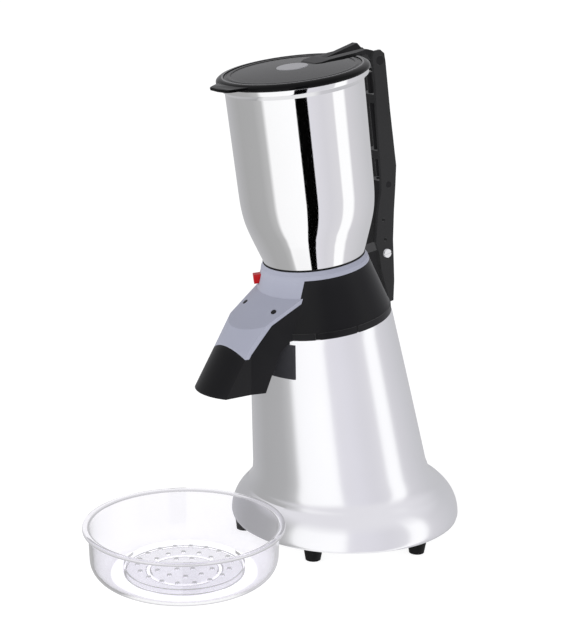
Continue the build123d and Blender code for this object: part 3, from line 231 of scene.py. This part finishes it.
def surface(name, colour, rough, metallic=0.0, vary=0.06, rough_vary=0.06, grain=(900.0, 0.02), cloud=14.0,
            wear=0.0, painted_crease_shade=0.0, **sockets):
    """Procedural finish: cloudy colour and roughness, fine bump, lighter worn edges and painted shade in
    creases.
    """
    mat = bpy.data.materials.new(name)
    mat.use_nodes = True
    tree = mat.node_tree
    shader = tree.nodes["Principled BSDF"]
    shader.inputs["Metallic"].default_value = metallic
    for socket, value in sockets.items():
        shader.inputs[socket.replace("_", " ")].default_value = value
    clouds = noise(tree, cloud, 5)
    tint = tree.nodes.new("ShaderNodeValToRGB")
    low, high = tint.color_ramp.elements
    low.position, high.position = CLOUD_SPAN
    low.color = [c * (1 - vary) for c in colour] + [1]
    high.color = [min(1, c * (1 + vary)) for c in colour] + [1]
    link(tree, clouds, tint.inputs["Fac"])
    gloss = graded(tree, clouds, 0.0, 1.0, rough * (1 - rough_vary), rough * (1 + rough_vary))
    link(tree, gloss, shader.inputs["Roughness"])
    shade = tint.outputs["Color"]
    if wear:
        edge = tree.nodes.new("ShaderNodeNewGeometry")
        worn = tuple(min(1, c * 2.0 + 0.06) for c in colour) + (1,)
        amount = graded(tree, edge.outputs["Pointiness"], *WEAR_SPAN, 0.0, wear)
        shade = mixed(tree, amount, shade, worn)
    # painted shade: ambient occlusion darkens the base colour in creases, seams and joints
    if painted_crease_shade:
        crease = tree.nodes.new("ShaderNodeAmbientOcclusion")
        crease.samples = 8
        crease.inputs["Distance"].default_value = CREASE_SHADE_REACH
        dark = tuple(c * 0.25 for c in colour) + (1,)
        shade = mixed(tree, graded(tree, crease.outputs["AO"], *CREASE_SHADE_SPAN, painted_crease_shade, 0.0), shade, dark)
    link(tree, shade, shader.inputs["Base Color"])
    scale, strength = grain
    if strength:
        bump = tree.nodes.new("ShaderNodeBump")
        bump.inputs["Strength"].default_value = strength
        bump.inputs["Distance"].default_value = BUMP_HEIGHT
        link(tree, noise(tree, scale, 3), bump.inputs["Height"])
        link(tree, bump.outputs["Normal"], shader.inputs["Normal"])
    return mat


def paint(piece, mat):
    """Give a piece one material."""
    piece.data.materials.clear()
    piece.data.materials.append(mat)


def soften(piece):
    """Smooth shading, with rounded hard edges, on a carried-over node."""
    mesh = piece.data
    mesh.polygons.foreach_set("use_smooth", [True] * len(mesh.polygons))
    mesh.set_sharp_from_angle(angle=math.radians(EDGE_ANGLE))
    bevel = piece.modifiers.new("edge", "BEVEL")
    bevel.width = EDGE_ROUND * MM
    bevel.segments = 2
    bevel.limit_method = "ANGLE"
    bevel.angle_limit = math.radians(EDGE_ANGLE + 8)
    bevel.harden_normals = True


def new_piece(piece, body, mat, slot, *replaced):
    """Paint a new piece, hang it on its body and hide the nodes it replaces."""
    paint(piece, mat)
    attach(piece, body)
    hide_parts(*replaced)


ALUMINIUM = surface("cast_aluminium", (0.87, 0.87, 0.895), 0.19, 1.0, vary=0.015, rough_vary=0.10,
                    grain=(420.0, 0.03), cloud=9.0)
STEEL = surface("polished_steel", (0.86, 0.86, 0.87), 0.05, 1.0, vary=0.01, rough_vary=0.2,
                grain=(700.0, 0.006))
PLAIN_STEEL = surface("steel_parts", (0.55, 0.55, 0.56), 0.28, 1.0, vary=0.05, grain=(800.0, 0.06),
                      wear=0.2)
DARK_STEEL = surface("dark_steel", (0.006, 0.006, 0.007), 0.38, vary=0.1, grain=(800.0, 0.05), wear=0.1,
                     Specular_IOR_Level=0.12)
CHROME = surface("chrome_screws", (0.66, 0.66, 0.68), 0.10, 1.0, vary=0.02, grain=(700.0, 0.02))
PAINTED = surface("painted_steel", (0.22, 0.23, 0.25), 0.4, 0.0, grain=(600.0, 0.05), wear=0.2)
MOTOR_ALUMINIUM = surface("motor_aluminium", (0.62, 0.62, 0.64), 0.42, 1.0, vary=0.08, grain=(300.0, 0.15))
IRON = surface("motor_iron", (0.25, 0.17, 0.12), 0.45, 0.6, vary=0.15, grain=(500.0, 0.2))
BLACK = surface("black_plastic", (0.0052, 0.0052, 0.0064), 0.36, vary=0.15, grain=(1400.0, 0.10), wear=0.05,
                Specular_IOR_Level=0.17)
DARK = surface("dark_plastic", (0.030, 0.030, 0.036), 0.40, vary=0.08, grain=(1400.0, 0.10), wear=0.05,
               Specular_IOR_Level=0.2)
BLACK_PAINT = surface("black_paint", (0.017, 0.017, 0.018), 0.40, vary=0.10, grain=(1000.0, 0.12),
                      wear=0.04, Specular_IOR_Level=0.2)
GLOSS = surface("gloss_black", (0.0022, 0.0022, 0.0026), 0.16, vary=0.1, grain=(900.0, 0.01), wear=0.02,
                Specular_IOR_Level=0.09)
BEAD = surface("lid_bead", (0.24, 0.24, 0.245), 0.3, vary=0.06, grain=(900.0, 0.02), Specular_IOR_Level=0.3)
# the grey plastic carries painted shade in its creases and seams
GREY = surface("grey_plastic", (0.43, 0.445, 0.54), 0.45, vary=0.025, grain=(1500.0, 0.10), wear=0.04,
               painted_crease_shade=0.8, Specular_IOR_Level=0.25)
LIGHT = surface("light_plastic", (0.50, 0.50, 0.53), 0.2, vary=0.04, grain=(900.0, 0.02))
RED = surface("red_plastic", (0.62, 0.006, 0.010), 0.28, vary=0.08, grain=(1200.0, 0.05),
              Specular_IOR_Level=0.3)
RUBBER = surface("black_rubber", (0.003, 0.003, 0.0034), 0.55, vary=0.2, grain=(900.0, 0.2),
                 Specular_IOR_Level=0.15)
SMOKED = surface("smoked_plastic", (0.014, 0.014, 0.0155), 0.26, vary=0.08, grain=(900.0, 0.02),
                 Specular_IOR_Level=0.28)
CLEAR = surface("clear_plastic", (0.93, 0.922, 0.958), 0.03, vary=0.004, rough_vary=0.3,
                grain=(260.0, 0.01), Transmission_Weight=1.0, IOR=1.36, Specular_IOR_Level=0.4)
THIN_CLEAR = surface("clear_plate", (0.972, 0.97, 0.985), 0.05, vary=0.004, rough_vary=0.3,
                     grain=(260.0, 0.01), Transmission_Weight=1.0, IOR=1.12, Specular_IOR_Level=0.3)

FINISHES = {
    "cast_aluminium": ALUMINIUM, "polished_steel": STEEL, "steel_parts": PLAIN_STEEL,
    "dark_steel": DARK_STEEL, "chrome_screws": CHROME, "painted_steel": PAINTED,
    "motor_aluminium": MOTOR_ALUMINIUM, "motor_iron": IRON, "black_plastic": BLACK,
    "dark_plastic": DARK, "black_paint": BLACK_PAINT, "gloss_black": GLOSS,
    "grey_plastic": GREY, "light_plastic": LIGHT, "red_plastic": RED, "black_rubber": RUBBER,
    "smoked_plastic": SMOKED, "clear_plastic": CLEAR,
}


def dress_nodes():
    """Finish of every carried-over node, from the record's slots.

    These nodes don't show in reflections, which keeps the bright metal as plain as in the photograph.
    """
    for part in frame["record"]["subparts"]:
        node = nodes[part["node"]]
        paint(node, FINISHES[part["material_slot"]])
        soften(node)
        node.visible_glossy = False
    paint(nodes["drain_plate"], THIN_CLEAR)
    paint(nodes["lid_arm"], BLACK)


# ---------------------------------------------------------------- casting
CONE_LOW, CONE_FOOT_R, CONE_FOOT_Y = 50.0, 84.5, -5.0
CONE_TOP_S, CONE_TOP_R, DECK, DECK_BORE, WALL = 214.0, 66.0, 6.0, 24.0, 4.0
FLANGE_R, FLANGE_LOW, CROWN = 108.95, 11.5, 35.0
EDGE_RISE = 3.5             # centre of the flange's rounded edge above its lip
# rings of the hollow between flange and cone: centre y, height, radius, tilt
HOLLOW = [(-0.8, 44.6, 94.2, 0), (-1.9, 46.8, 91.4, 0), (-3.3, 49.6, 88.6, 0), (-4.6, 53.4, 86.2, 0),
          (-5.7, 58.0, 84.6, 0)]


def cone_ring(share, inset=0.0):
    """Ring of the leaning cone, from its foot (0) to its top (1)."""
    top_y, top_z = -CONE_TOP_S * math.sin(LEAN), CONE_TOP_S * math.cos(LEAN)
    return (CONE_FOOT_Y + share * (top_y - CONE_FOOT_Y), CONE_LOW + share * (top_z - CONE_LOW),
            CONE_FOOT_R + share * (CONE_TOP_R - CONE_FOOT_R) - inset, share * LEAN)


def flange_ring(angle, inset=0.0):
    """Level ring on the flange's rounded edge."""
    turn = math.radians(angle)
    reach = CROWN - inset
    height, radius = reach * math.sin(turn), reach * math.cos(turn)
    return 0.0, FLANGE_LOW + EDGE_RISE + height, FLANGE_R - CROWN + radius, 0.0


def add_casting():
    """Outer wall from the flange's lip to the deck, then the inside back down."""
    outer = [(0, FLANGE_LOW, FLANGE_R - 1.6, 0), (0, FLANGE_LOW + 0.8, FLANGE_R - 0.7, 0)]
    outer += [flange_ring(a) for a in range(0, 53, 4)] + HOLLOW
    outer += [cone_ring(share / 20) for share in range(2, 20)]
    outer += [cone_ring(0.985), cone_ring(1.0, 0.5)]
    top_y, top_z = outer[-1][:2]
    deck_y, deck_z = top_y + DECK * math.sin(LEAN), top_z - DECK * math.cos(LEAN)
    inner = [(top_y, top_z, DECK_BORE, LEAN), (deck_y, deck_z, DECK_BORE, LEAN),
             (deck_y, deck_z, CONE_TOP_R - WALL, LEAN)]
    inner += [cone_ring(share / 10, WALL) for share in (9, 7, 5, 3, 1)]
    inner += [flange_ring(a, WALL) for a in (60, 40, 20, 0)]
    inner += [(0, FLANGE_LOW, FLANGE_R - WALL - 0.5, 0)]
    shell = loft("casting_shell", outer + inner, LEVEL)
    new_piece(shell, "machine", ALUMINIUM, "cast_aluminium", "base_casting")
    add_strip(shell)


# ---------------------------------------------------------------- hopper
SHEET, NECK_R, NECK_LOW, NECK_TOP = 1.2, 44.6, 268.0, 273.8
SHOULDER_R, SHOULDER_S = 61.15, 343.0
MOUTH_SPREAD, BODY_HEIGHT = 0.65, 88.5      # the body widens by this much up to the rim
RIM_R, RIM_LOW, RIM_TOP = 66.5, 435.5, 440.0
# (radius, height) from the neck up to the shoulder
TAPER = [(46.6, NECK_TOP), (49.3, 281.6), (52.4, 290.6), (55.6, 300.2), (58.3, 309.6), (60.0, 319.0),
         (60.9, 330.0), (SHOULDER_R, SHOULDER_S)]


def add_hopper():
    """Polished hopper with its rolled rim and neck."""
    outer = [(NECK_R, NECK_LOW), (NECK_R, NECK_TOP)] + curve(TAPER, 8)
    outer += [(SHOULDER_R + MOUTH_SPREAD * k / 10, SHOULDER_S + BODY_HEIGHT * k / 10) for k in range(1, 11)]
    rim = rounded([(RIM_R, RIM_LOW, 1.5), (RIM_R, RIM_TOP, 0.5), (RIM_R - SHEET, RIM_TOP, 0.5),
                   (RIM_R - SHEET, RIM_LOW + 0.5, 1.5)], 5)
    inner = [(r - SHEET, z + 0.3) for r, z in reversed(outer[2:])]
    neck = [(NECK_R - SHEET, NECK_TOP + 0.8), (NECK_R - SHEET, NECK_LOW)]
    body = lathe("hopper_shell", outer + rim + inner + neck, MACHINE, FINE)
    new_piece(body, "hopper_unit", STEEL, "polished_steel", "hopper")


# ---------------------------------------------------------------- lid
LID_LOW, LID_HEIGHT, LID_R = 440.6, 5.0, 68.4
SEAT_R, LEDGE_R = 61.4, 57.4                # the rim's step that the panel lies in
PANEL_RISE = 2.5
# half of the finger tab's plan, from its root to its middle
TAB = [(24, -62), (15.5, -76.2), (14.2, -78.4), (12, -79.4)]


def add_lid():
    """Glossy rim with the finger tab, the smoked panel in it and the grey bead between them."""
    low, high = LID_LOW, LID_LOW + LID_HEIGHT
    rim = rounded([(LEDGE_R, low, 0.3), (LID_R, low, 0.9), (LID_R, low + 2.6, 2.4), (65.0, high, 2.6),
                   (SEAT_R, high, 0.4), (SEAT_R, low + 1.4, 0.1), (LEDGE_R, low + 1.4, 0.1)], 5)
    bm = bmesh.new()
    rings_between(bm, [round_ring(bm, FINE, r, z) for r, z in rim])
    tab = [(-x, y) for x, y in TAB] + [(0, -80.0)] + TAB[::-1]
    prism(bm, tab, low + 1.0, low + 3.6, 0.7)
    new_piece(finish_mesh("lid_frame", bm, MACHINE), "lid", GLOSS, "gloss_black", "lid_rim")
    top = low + 4.0
    panel = [(0, top + PANEL_RISE)]
    panel += [(r, top + PANEL_RISE * (1 - (r / SEAT_R) ** 2)) for r in range(6, 54, 6)]
    panel += rounded([(55.0, top + 0.6, 0.8), (56.0, top + 1.0, 0.5), (58.2, top + 1.0, 0.5),
                      (59.2, top + 0.35, 0.5), (61.2, top + 0.3, 0.3), (61.2, top - 2.4, 0.3)], 3)
    panel += [(50, top - 2.2), (25, top - 0.6), (0, top - 0.2)]
    new_piece(lathe("lid_dome", panel, MACHINE), "lid", SMOKED, "smoked_plastic", "lid_panel")
    bead = rounded([(61.5, high - 0.3, 0.1), (63.6, high - 0.3, 0.1), (63.2, high + 0.15, 0.3),
                    (61.9, high + 0.15, 0.3)], 3)
    new_piece(lathe("lid_bead", bead, MACHINE), "lid", BEAD, "smoked_plastic")


# ---------------------------------------------------------------- bowl
BOWL_X, BOWL_Y = 17.5, -193.5               # from the centre of the machine's foot
BOWL_LIP_R, BOWL_WALL_R, BOWL_FOOT_R = 89.95, 85.5, 84.0
BOWL_CORNER, BOWL_THICK, BOWL_HIGH = 18.0, 2.4, 47.0


def bowl_corner(radius):
    """Quarter round of one face of the bowl, from its floor up to its wall."""
    centre = BOWL_FOOT_R - BOWL_CORNER
    turns = [math.radians(a) for a in range(-90, 1, 9)]
    return [(centre + radius * math.cos(t), BOWL_CORNER + radius * math.sin(t)) for t in turns]


def add_bowl():
    """Clear bowl with a rolled lip and rings moulded in its floor."""
    place = Matrix.Translation((BOWL_X * MM, (FRAME_Y + BOWL_Y) * MM, 0))
    high, lip_low = BOWL_HIGH, BOWL_HIGH - 2.6
    floor = [(0, 1.0), (30.0, 1.0), (31.0, 0.0), (34.0, 0.0), (35.0, 1.0), (52.0, 1.0), (53.0, 0.0)]
    outer = floor + bowl_corner(BOWL_CORNER) + [(BOWL_WALL_R - 0.8, high - 6.0)]
    lip = rounded([(BOWL_WALL_R + 0.2, lip_low, 0.8), (BOWL_LIP_R, lip_low, 0.8), (BOWL_LIP_R, high, 0.9),
                   (86.8, high, 0.9), (BOWL_WALL_R - BOWL_THICK, high - 1.2, 1.0)], 4)
    inner = bowl_corner(BOWL_CORNER - BOWL_THICK)[::-1] + [(54.5, BOWL_THICK), (0, BOWL_THICK)]
    bowl = lathe("bowl_clear", outer + lip + inner, place)
    bowl.visible_glossy = False
    new_piece(bowl, "bowl", CLEAR, "clear_plastic", "ice_bowl")


# ---------------------------------------------------------------- studio
STRIP = (-34.6, -14.8)      # bearings of the card's sides, in degrees
STRIP_RISE = (-72.0, 9.0)   # elevations of its ends, seen from the machine
STRIP_FAR, FLOOR_REACH = 20.0, 30.0         # metres from the origin
GLOW = 0.82                 # brightness of the card and the floor
# bearing in degrees and colour of the studio's walls
WALLS = [(-180, (0.50, 0.50, 0.51)), (-150, (0.44, 0.44, 0.44)), (-112, (0.46, 0.46, 0.46)),
         (-95, (0.56, 0.56, 0.56)), (-88, (1.1, 1.1, 1.1)), (-35, (1.15, 1.15, 1.15)),
         (-34, (0.82, 0.81, 0.86)), (-14, (0.82, 0.81, 0.86)), (8, (0.76, 0.75, 0.79)),
         (28, (0.80, 0.79, 0.82)), (31, (1.15, 1.15, 1.15)), (50, (1.15, 1.15, 1.15)),
         (55, (0.74, 0.73, 0.76)), (100, (0.62, 0.62, 0.64)), (180, (0.50, 0.50, 0.51))]
CEILING, CEILING_MIRRORED = (0.34, 0.34, 0.35, 1), (0.86, 0.85, 0.88, 1)
CEILING_SPAN = (0.35, 0.75)     # rise of a ray over which the walls turn into the ceiling
GROUND_SPAN = (-0.86, -0.92)    # rise of a ray over which they turn into the white ground


def add_world():
    """White studio with grey walls at fixed bearings, for the polished metal to mirror."""
    world = bpy.data.worlds.new("studio")
    bpy.context.scene.world = world
    world.use_nodes = True
    tree = world.node_tree
    back = tree.nodes["Background"]
    place = tree.nodes.new("ShaderNodeTexCoord")
    split = tree.nodes.new("ShaderNodeSeparateXYZ")
    link(tree, place.outputs["Generated"], split.inputs["Vector"])
    bearing = tree.nodes.new("ShaderNodeMath")
    bearing.operation = "ARCTAN2"
    link(tree, split.outputs["Y"], bearing.inputs[0])
    link(tree, split.outputs["X"], bearing.inputs[1])
    ramp = tree.nodes.new("ShaderNodeValToRGB")
    elements = ramp.color_ramp.elements
    while len(elements) < len(WALLS):
        elements.new(0.5)
    for element, (degrees, _) in zip(elements, WALLS):
        element.position = (degrees + 180) / 360
    for element, (_, colour) in zip(elements, WALLS):
        element.color = (*colour, 1)
    link(tree, graded(tree, bearing.outputs["Value"], -math.pi, math.pi), ramp.inputs["Fac"])
    ray = tree.nodes.new("ShaderNodeLightPath")
    rise = split.outputs["Z"]
    ceiling = mixed(tree, ray.outputs["Is Glossy Ray"], CEILING, CEILING_MIRRORED)
    shade = mixed(tree, graded(tree, rise, *CEILING_SPAN), ramp.outputs["Color"], ceiling)
    shade = mixed(tree, graded(tree, rise, *GROUND_SPAN), shade, WHITE)
    shade = mixed(tree, ray.outputs["Is Camera Ray"], shade, WHITE)
    link(tree, shade, back.inputs["Color"])


def studio_piece(name, bm, mat):
    """Object from a bmesh in metres, which casts no shadow."""
    mesh = bpy.data.meshes.new(name)
    bm.to_mesh(mesh)
    bm.free()
    mesh.materials.append(mat)
    piece = bpy.data.objects.new(name, mesh)
    piece.visible_shadow = False
    bpy.context.scene.collection.objects.link(piece)
    return piece


def add_floor():
    """Plain pale floor that glows a little, so that it stays as white as the studio."""
    mat = surface("floor", (0.50, 0.50, 0.50), 0.9, vary=0.002, grain=(50.0, 0.0), cloud=0.5,
                  Specular_IOR_Level=0.0, Emission_Color=WHITE, Emission_Strength=GLOW)
    bm = bmesh.new()
    bmesh.ops.create_grid(bm, x_segments=4, y_segments=4, size=FLOOR_REACH)
    piece = studio_piece("floor", bm, mat)
    piece.visible_glossy = False


def add_strip(casting):
    """Tall far card that shows white in the casting and black in the polished hopper."""
    mat = surface("strip", (0.0, 0.0, 0.0), 1.0, vary=0.0, grain=(50.0, 0.0), Specular_IOR_Level=0.0,
                  Emission_Color=(1.0, 0.985, 1.04, 1), Emission_Strength=GLOW)
    columns, rows = 8, 24
    bm = bmesh.new()
    grid = []
    for i in range(rows + 1):
        rise = math.radians(STRIP_RISE[0] + (STRIP_RISE[1] - STRIP_RISE[0]) * i / rows)
        reach, height = STRIP_FAR * math.cos(rise), STRIP_FAR * math.sin(rise)
        turns = [math.radians(STRIP[0] + (STRIP[1] - STRIP[0]) * j / columns) for j in range(columns + 1)]
        grid.append([bm.verts.new((reach * math.cos(t), reach * math.sin(t), height)) for t in turns])
    for low, high in zip(grid, grid[1:]):
        for j in range(columns):
            bm.faces.new([low[j], low[j + 1], high[j + 1], high[j]])
    strip = studio_piece("strip", bm, mat)
    strip.visible_camera = strip.visible_diffuse = strip.visible_transmission = False
    receivers = bpy.data.collections.new("casting_only")
    receivers.objects.link(casting)
    strip.light_linking.receiver_collection = receivers


def add_key():
    """Large soft box in front, to the left."""
    place, target = Vector((-0.9, -1.7, 0.9)), Vector((0, 0, 0.2))
    side, watts = 1.2, 9
    lamp = bpy.data.lights.new("key", "AREA")
    lamp.shape = "RECTANGLE"
    lamp.size = lamp.size_y = side
    lamp.energy = watts
    light = bpy.data.objects.new("key", lamp)
    light.location = place
    light.rotation_euler = (target - place).to_track_quat("-Z", "Y").to_euler()
    light.visible_glossy = False
    bpy.context.scene.collection.objects.link(light)


bpy.context.scene.view_settings.view_transform = "Standard"
add_camera()
add_world()
add_floor()
add_key()
dress_nodes()
add_casting()
add_hopper()
add_lid()
add_bowl()

bpy.context.view_layer.update()
